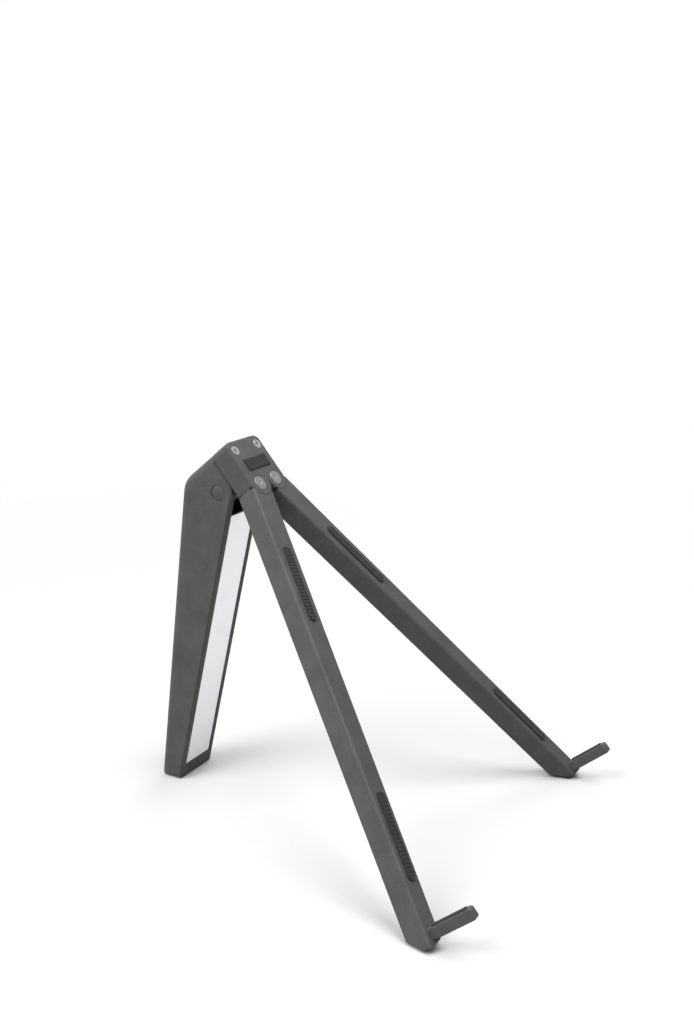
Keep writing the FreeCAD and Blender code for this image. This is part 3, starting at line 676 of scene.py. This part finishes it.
def seat(mesh: bpy.types.Mesh, place: Matrix, body: str, finish: Finish, node: str) -> None:
    """Puts a modelled piece where a plain node of the frame is, under its mesh's name.

    Args:
        mesh: the piece's mesh, in the place's own directions.
        place: where it sits.
        body: the body that it rides on.
        finish: its finish.
        node: the node that it stands for.
    """
    piece = bpy.data.objects.new(mesh.name, mesh)
    bpy.context.scene.collection.objects.link(piece)
    piece.matrix_world = place
    mesh.materials.append(finish.material())
    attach(piece, body)
    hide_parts(node)
    LOG.info("%s: %d faces on %s", piece.name, len(mesh.polygons), body)


def dress(node: str, finish: Finish) -> None:
    """Gives a node of the frame its finish.

    Args:
        node: the node's name.
        finish: its finish.
    """
    for place in frame["nodes"][node].material_slots:
        place.material = finish.material()
    LOG.info("%s: %s", node, finish.name)


@dataclass(frozen=True)
class RubberPad:
    """A moulded rubber pad with a rounded edge and fine grip ribs across it.

    Attributes:
        node: the plain node that it stands for.
        body: the body that it rides on.
        x: direction along the pad.
        z: direction out of its seat.
        corner: radius of its corners, seen from above; half its width where it is none.
        edge: radius of its outer edge.
        rib_pitch: distance from one groove to the next.
        groove_depth: depth of the grooves between the ribs.
        groove_power: how narrow the grooves are against the ribs.
        steps_a_rib: sections drawn along one rib.
        steps_a_corner: sections drawn along a rounded corner.
        steps_across: faces across the pad.
    """

    node: str
    body: str
    x: Vector
    z: Vector
    corner: float | None = None
    edge: float = 0.45 * MM
    rib_pitch: float = 2.0 * MM
    groove_depth: float = 0.3 * MM
    groove_power: int = 3
    steps_a_rib: int = 10
    steps_a_corner: int = 10
    steps_across: int = 20

    def height(self, x: float, y: float, half: Vector, corner: float, thickness: float) -> float:
        """Works out the pad's height at a point.

        Args:
            x: place along the pad from its middle.
            y: place across the pad from its middle.
            half: half the pad's length and width.
            corner: radius of its corners.
            thickness: its full thickness.

        Returns:
            The height over the pad's seat.
        """
        past_x = abs(x) - half.x + corner
        past_y = abs(y) - half.y + corner
        outward = math.hypot(max(past_x, 0.0), max(past_y, 0.0)) + min(max(past_x, past_y), 0.0)
        inward = max(corner - outward, 0.0)
        rise = max(self.edge - inward, 0.0)
        fall = self.edge - math.sqrt(max(self.edge ** 2 - rise ** 2, 0.0))
        share = min(max(inward / self.edge - 1.0, 0.0), 1.0)
        groove = ((1.0 + math.cos(math.tau * x / self.rib_pitch)) / 2) ** self.groove_power
        return thickness - fall - share * self.groove_depth * groove

    def stations(self, half_length: float, corner: float) -> list[float]:
        """Chooses the places along the pad where its section is drawn.

        Args:
            half_length: half the pad's length.
            corner: radius of its corners.

        Returns:
            Places along the pad from end to end.
        """
        straight = half_length - corner
        turn = [corner * math.sin(math.pi / 2 * step / self.steps_a_corner)
                for step in range(1, self.steps_a_corner + 1)]
        count = max(2, round(2 * straight / self.rib_pitch * self.steps_a_rib))
        middle = [straight * (2 * step / count - 1) for step in range(count + 1)]
        return [-straight - t for t in reversed(turn)] + middle + [straight + t for t in turn]

    def mesh(self, half: Vector, corner: float, thickness: float) -> bpy.types.Mesh:
        """Builds the pad's mesh in its own directions, its seat at z = 0.

        Args:
            half: half the pad's length and width.
            corner: radius of its corners.
            thickness: its thickness.

        Returns:
            The mesh.
        """
        shape = bmesh.new()
        tops, feet = [], []
        for x in self.stations(half.x, corner):
            past = max(abs(x) - half.x + corner, 0.0)
            reach = half.y - corner + math.sqrt(max(corner ** 2 - past ** 2, 0.0))
            turns = [math.pi * (step / self.steps_across - 0.5) for step in range(self.steps_across + 1)]
            row = [reach * math.sin(turn) for turn in turns]
            tops.append([shape.verts.new((x, y, self.height(x, y, half, corner, thickness))) for y in row])
            feet.append([shape.verts.new((x, side * reach, 0.0)) for side in (-1, 1)])
        for here, there, foot, next_foot in zip(tops, tops[1:], feet, feet[1:]):
            for step in range(self.steps_across):
                shape.faces.new((here[step], there[step], there[step + 1], here[step + 1]))
            shape.faces.new((foot[0], next_foot[0], there[0], here[0]))
            shape.faces.new((next_foot[1], foot[1], here[-1], there[-1]))
            shape.faces.new((foot[1], next_foot[1], next_foot[0], foot[0]))
        shape.faces.new([*tops[0], feet[0][1], feet[0][0]])
        shape.faces.new([*reversed(tops[-1]), feet[-1][0], feet[-1][1]])
        return finished_mesh(shape, "ribbed_" + self.node)

    def build(self) -> None:
        """Builds the pad where its node is."""
        lie = axes(Vector(), self.x, self.z)
        low, high = span(self.node, lie)
        half = (high - low) / 2
        corner = half.y if self.corner is None else self.corner
        middle = (low + high) / 2
        middle.z = low.z
        place = lie @ Matrix.Translation(middle)
        mesh = self.mesh(half, corner, high.z - low.z)
        seat(mesh, place, self.body, RUBBER, self.node)


@dataclass
class Arm:
    """One arm of the stand with its hook, its soft strips, its liner and its toe."""

    side: Side
    liner_corner: float = 0.8 * MM
    liner_edge: float = 0.3 * MM
    liner_pitch: float = 1.6 * MM
    liner_groove: float = 0.2 * MM
    toe_corner: float = 1.2 * MM
    toe_edge: float = 0.35 * MM
    toe_pitch: float = 1.5 * MM

    def pads(self) -> list[RubberPad]:
        """Lists the arm's soft pads.

        Returns:
            The two strips, the hook's liner and the toe.
        """
        body = self.side.of("arm")
        pivot = Vector(joint(body + "_swing")["pos_m"])
        rest = mount(self.side.of("laptop_rest"))
        normal = Vector(rest["axis"])
        along = (Vector(rest["pos_m"]) - pivot).normalized()
        along = (along - along.dot(normal) * normal).normalized()
        up_slope = normal.cross(X_AXIS)
        return [
            RubberPad(self.side.of("front_rest_pad"), body, along, normal),
            RubberPad(self.side.of("rear_rest_pad"), body, along, normal),
            RubberPad(self.side.of("hook_pad"), body, normal, up_slope, self.liner_corner,
                      edge=self.liner_edge, rib_pitch=self.liner_pitch, groove_depth=self.liner_groove),
            RubberPad(self.side.of("toe_pad"), body, Y_AXIS, -Z_AXIS, self.toe_corner,
                      edge=self.toe_edge, rib_pitch=self.toe_pitch),
        ]

    def build(self) -> None:
        """Builds the arm's soft pads."""
        for pad in self.pads():
            pad.build()

    def dress(self) -> None:
        """Gives the arm's moulding its finish."""
        dress(self.side.of("arm"), CHARCOAL)


@dataclass
class Hub:
    """The hub with its cover, screws, pivot pins, washers and soft pad."""

    body: str = "hub"
    pad_corner: float = 0.6 * MM
    screw_head_height: float = 1.5 * MM
    screw_chamfer: float = 0.12 * MM
    recess_length: float = 3.1 * MM
    recess_width: float = 0.75 * MM
    recess_depth: float = 1.0 * MM
    # the recess's tool starts this far over the head, to cut it cleanly
    recess_lead: float = 0.2 * MM
    recess_taper: float = 0.55
    pin_head_height: float = 1.1 * MM
    pin_chamfer: float = 0.3 * MM
    pin_dimple: float = 0.9 * MM
    pin_dimple_depth: float = 0.45 * MM
    # less than the slope of the dimple, so that its rim stays crisp
    pin_crease_deg: float = 20.0

    def screw(self, head: float, shank: float, length: float) -> bpy.types.Mesh:
        """Builds a countersunk screw with a cross recess, its head's top at z = 0.

        Args:
            head: radius of the head.
            shank: radius of the shank.
            length: length of the screw.

        Returns:
            The screw's mesh.
        """
        chamfer = self.screw_chamfer
        profile = [
            (0.0, 0.0), (head - chamfer, 0.0), (head, -chamfer), (shank, -self.screw_head_height),
            (shank, chamfer - length), (shank - chamfer, -length), (0.0, -length),
        ]
        blank = finished_mesh(turned_shape(profile), "screw_blank")
        cross = bmesh.new()
        for quarter in range(2):
            turn = Matrix.Rotation(math.pi / 2 * quarter, 4, "Z")
            rims = []
            for height, share in ((self.recess_lead, 1.0), (-self.recess_depth, self.recess_taper)):
                x = self.recess_length / 2 * share
                y = self.recess_width / 2 * share
                corners = [(-x, -y), (x, -y), (x, y), (-x, y)]
                rims.append([cross.verts.new(turn @ Vector((*corner, height))) for corner in corners])
            cross.faces.new(rims[0])
            cross.faces.new(reversed(rims[1]))
            for index in range(4):
                after = (index + 1) % 4
                cross.faces.new((rims[0][index], rims[1][index], rims[1][after], rims[0][after]))
        return carved(blank, finished_mesh(cross, "cross_recess"))

    def build_screws(self) -> None:
        """Builds both cover screws as one piece, as the frame groups them."""
        lie = deck()
        low, high = span("cover_screws", lie)
        back = lie.inverted()
        points = [back @ vertex.co for vertex in frame["nodes"]["cover_screws"].data.vertices]
        floor = [point for point in points if point.z < low.z + self.screw_chamfer]
        shank = (max(point.y for point in floor) - min(point.y for point in floor)) / 2
        head = (high.y - low.y) / 2
        single = self.screw(head, shank, high.z - low.z)
        shape = bmesh.new()
        for side in (-1, 1):
            first = len(shape.verts)
            shape.from_mesh(single)
            shape.verts.ensure_lookup_table()
            shift = Vector((side * (high.x - head), 0.0, 0.0))
            bmesh.ops.translate(shape, verts=shape.verts[first:], vec=shift)
        bpy.data.meshes.remove(single)
        place = lie @ Matrix.Translation((0.0, (low.y + high.y) / 2, high.z))
        mesh = finished_mesh(shape, "cross_recess_screws")
        seat(mesh, place, self.body, PLATED_STEEL, "cover_screws")

    def build_pin(self, side: Side) -> None:
        """Builds an arm's pivot pin with its turned head.

        Args:
            side: the arm's side.
        """
        node = side.of("arm_pivot_pin")
        lie = deck()
        low, high = span(node, lie)
        length = high.z - low.z
        head = (high.x - low.x) / 2
        back = lie.inverted()
        points = [back @ vertex.co for vertex in frame["nodes"][node].data.vertices]
        floor = [point.x for point in points if point.z < low.z + self.pin_chamfer]
        shank = (max(floor) - min(floor)) / 2
        chamfer = self.pin_chamfer
        profile = [
            (0.0, -self.pin_dimple_depth), (self.pin_dimple, 0.0), (head - chamfer, 0.0), (head, -chamfer),
            (head, -self.pin_head_height), (shank, -self.pin_head_height), (shank, chamfer - length),
            (shank - chamfer, -length), (0.0, -length),
        ]
        place = lie @ Matrix.Translation(((low.x + high.x) / 2, (low.y + high.y) / 2, high.z))
        mesh = finished_mesh(turned_shape(profile), "turned_" + node, self.pin_crease_deg)
        seat(mesh, place, self.body, TURNED_STEEL, node)

    def build(self) -> None:
        """Builds the soft pad, the screws and the pivot pins."""
        normal = Vector(mount("laptop_rest_right")["axis"])
        RubberPad("hub_pad", self.body, X_AXIS, normal, self.pad_corner).build()
        self.build_screws()
        for side in Side:
            self.build_pin(side)

    def dress(self) -> None:
        """Gives the mouldings and the washers their finishes."""
        dress("hub_housing", CHARCOAL)
        dress("hub_cover", CHARCOAL)
        for side in Side:
            dress(side.of("arm_washers"), NYLON)


@dataclass
class Leg:
    """The rear leg with its front plate, sole, hinge pin, washers and pin caps."""

    body: str = "leg"
    sole_corner: float = 2.0 * MM
    sole_pitch: float = 2.4 * MM
    cap_dome: float = 0.35 * MM
    cap_edge: float = 0.2 * MM
    dome_steps: int = 8

    def build_cap(self, side: Side) -> None:
        """Builds the low-domed plug over one end of the hinge pin.

        Args:
            side: the end that it closes.
        """
        node = side.of("pin_cap")
        outward = X_AXIS if side is Side.RIGHT else -X_AXIS
        lie = axes(Vector(), Y_AXIS, outward)
        low, high = span(node, lie)
        radius = (high.x - low.x) / 2
        rim = radius - self.cap_edge
        dome = [(rim * step / self.dome_steps, -self.cap_dome * (step / self.dome_steps) ** 2)
                for step in range(self.dome_steps + 1)]
        depth = low.z - high.z
        profile = dome + [(radius, -self.cap_dome - self.cap_edge), (radius, depth), (0.0, depth)]
        place = lie @ Matrix.Translation(((low.x + high.x) / 2, (low.y + high.y) / 2, high.z))
        mesh = finished_mesh(turned_shape(profile), "domed_" + node)
        seat(mesh, place, self.body, CHARCOAL, node)

    def build(self) -> None:
        """Builds the sole and the pin caps."""
        sole = RubberPad(
            "leg_foot_pad", self.body, X_AXIS, -Z_AXIS, self.sole_corner, rib_pitch=self.sole_pitch
        )
        sole.build()
        for side in Side:
            self.build_cap(side)

    def dress(self) -> None:
        """Gives the moulding, the plate, the pin and the washers their finishes."""
        dress("rear_leg", CHARCOAL)
        dress("leg_front_plate", ALUMINIUM)
        dress("leg_hinge_pin", PLATED_STEEL)
        dress("hinge_washers", NYLON)


@dataclass(frozen=True)
class Lamp:
    """A soft box, placed round the part by azimuth and elevation."""

    name: str
    azimuth_deg: float
    elevation_deg: float
    distance: float
    size: float
    power: float

    def build(self, target: Vector) -> None:
        """Hangs the lamp so that it faces the part.

        Args:
            target: the point that it faces.
        """
        light = bpy.data.lights.new(self.name, "AREA")
        light.shape = "DISK"
        light.size = self.size
        light.energy = self.power
        lamp = bpy.data.objects.new(self.name, light)
        bpy.context.scene.collection.objects.link(lamp)
        toward = bearing(self.azimuth_deg, self.elevation_deg)
        lamp.location = target + toward * self.distance
        lamp.rotation_euler = toward.to_track_quat("Z", "Y").to_euler()


def bearing(azimuth_deg: float, elevation_deg: float) -> Vector:
    """Gives the direction from the part to a place round it.

    Args:
        azimuth_deg: zero in front of the part, towards -Y, and 90 at +X.
        elevation_deg: height over the horizon.

    Returns:
        The direction, of length one.
    """
    turn = math.radians(azimuth_deg)
    rise = math.radians(elevation_deg)
    return Vector((math.sin(turn) * math.cos(rise), -math.cos(turn) * math.cos(rise), math.sin(rise)))


@dataclass
class Studio:
    """A white seamless floor, soft boxes and the camera."""

    floor_radius: float = 8.0
    floor_sides: int = 96
    paper_rough: float = 0.9
    paper_specular: float = 0.2
    floor_colour: str = "#d6d6d7"
    grain_colour: str = "#dddddd"
    horizon_colour: str = "#ffffff"
    bounce_share: float = 0.3
    fade_start: float = 0.2
    fade_end: float = 0.9
    paper_grain_mm: float = 0.8
    surround_from: tuple[float, float, float] = (-0.5, 0.75, 0.43)
    surround_least: float = 0.1
    surround_most: float = 0.7
    azimuth_deg: float = -61.39
    elevation_deg: float = 14.35
    distance: float = 0.6489
    aim: tuple[float, float, float] = (-0.0012, 0.0005, 0.1699)
    lens_mm: float = 43.91
    sensor_mm: float = 36.0
    lamps: tuple[Lamp, ...] = (
        Lamp("key_soft_box", -118.0, 46.0, 1.5, 1.0, 15.0),
        Lamp("right_soft_box", 100.0, 32.0, 1.4, 0.9, 5.0),
        Lamp("top_soft_box", 0.0, 74.0, 1.6, 1.1, 18.0),
    )

    def build_floor(self) -> None:
        """Lays the seamless floor, which fades to the white horizon far from the part."""
        shape = bmesh.new()
        bmesh.ops.create_circle(shape, cap_ends=True, radius=self.floor_radius, segments=self.floor_sides)
        floor = bpy.data.objects.new("seamless_floor", finished_mesh(shape, "seamless_floor"))
        bpy.context.scene.collection.objects.link(floor)
        floor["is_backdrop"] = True
        paper = bpy.data.materials.new("white_matt_seamless_paper")
        paper.use_nodes = True
        tree = paper.node_tree
        matt = tree.nodes["Principled BSDF"]
        matt.inputs["Roughness"].default_value = self.paper_rough
        matt.inputs["Specular IOR Level"].default_value = self.paper_specular
        place = add_node(tree, "TexCoord", {}).outputs["Object"]
        grain = add_node(tree, "TexNoise", {"Vector": place, "Scale": per_metre(self.paper_grain_mm)})
        tones = add_node(
            tree, "Mix",
            {0: grain.outputs[0], 6: linear(self.floor_colour), 7: linear(self.grain_colour)},
            data_type="RGBA",
        )
        # a flag on the floor keeps part of its bounce off the part's undersides
        bounced = add_node(tree, "LightPath", {}).outputs["Is Diffuse Ray"]
        kept = add_node(tree, "MapRange", {"Value": bounced, "To Min": 1.0, "To Max": self.bounce_share})
        flagged = add_node(
            tree, "VectorMath",
            {0: tones.outputs[2], "Scale": kept.outputs[0]},
            operation="SCALE",
        )
        tree.links.new(flagged.outputs[0], matt.inputs["Base Color"])
        away = add_node(tree, "VectorMath", {0: place}, operation="LENGTH")
        share = add_node(
            tree, "MapRange",
            {"Value": away.outputs["Value"], "From Min": self.fade_start, "From Max": self.fade_end},
            interpolation_type="SMOOTHSTEP",
        )
        white = linear(self.horizon_colour)
        glow = add_node(tree, "Emission", {"Color": white, "Strength": kept.outputs[0]})
        blend = add_node(tree, "MixShader", {0: share.outputs[0], 1: matt.outputs[0], 2: glow.outputs[0]})
        tree.links.new(blend.outputs[0], tree.nodes["Material Output"].inputs["Surface"])
        floor.data.materials.append(paper)

    def build_light(self) -> None:
        """Sets the white surround and hangs the soft boxes."""
        world = bpy.data.worlds.new("white_surround")
        world.use_nodes = True
        tree = world.node_tree
        white = linear(self.horizon_colour)
        surround = tree.nodes["Background"]
        surround.inputs["Color"].default_value = white
        # the surround is bright at the back and on the left, and dim in front
        outward = add_node(tree, "TexCoord", {}).outputs["Generated"]
        share = add_node(
            tree, "VectorMath",
            {0: outward, 1: self.surround_from},
            operation="DOT_PRODUCT",
        )
        strength = add_node(
            tree, "MapRange",
            {"Value": share.outputs["Value"], "From Min": -1.0, "To Min": self.surround_least,
             "To Max": self.surround_most},
        )
        tree.links.new(strength.outputs[0], surround.inputs["Strength"])
        # the sheet behind the part is lit to clean white, brighter than the surround's own light
        sheet = add_node(tree, "Background", {"Color": white})
        ray = add_node(tree, "LightPath", {}).outputs["Is Camera Ray"]
        blend = add_node(tree, "MixShader", {0: ray, 1: surround.outputs[0], 2: sheet.outputs[0]})
        tree.links.new(blend.outputs[0], tree.nodes["World Output"].inputs["Surface"])
        scene = bpy.context.scene
        scene.world = world
        scene.view_settings.view_transform = "Standard"
        low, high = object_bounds()
        for lamp in self.lamps:
            lamp.build((low + high) / 2)

    def build_camera(self) -> None:
        """Places the camera at the viewing angle of the reference picture."""
        view = bpy.data.cameras.new("camera")
        view.lens = self.lens_mm
        view.sensor_width = self.sensor_mm
        camera = bpy.data.objects.new("camera", view)
        bpy.context.scene.collection.objects.link(camera)
        back = bearing(self.azimuth_deg, self.elevation_deg)
        camera.location = Vector(self.aim) + back * self.distance
        camera.rotation_euler = (-back).to_track_quat("-Z", "Y").to_euler()
        bpy.context.scene.camera = camera

    def build(self) -> None:
        """Builds the floor, the light and the camera."""
        self.build_floor()
        self.build_light()
        self.build_camera()


def main() -> None:
    """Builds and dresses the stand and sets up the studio."""
    logging.basicConfig(level=logging.INFO, format="%(name)s: %(message)s")
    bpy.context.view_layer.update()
    assemblies = [Arm(Side.LEFT), Arm(Side.RIGHT), Hub(), Leg()]
    for assembly in assemblies:
        assembly.build()
        assembly.dress()
    Studio().build()


if __name__ == "__main__":
    main()
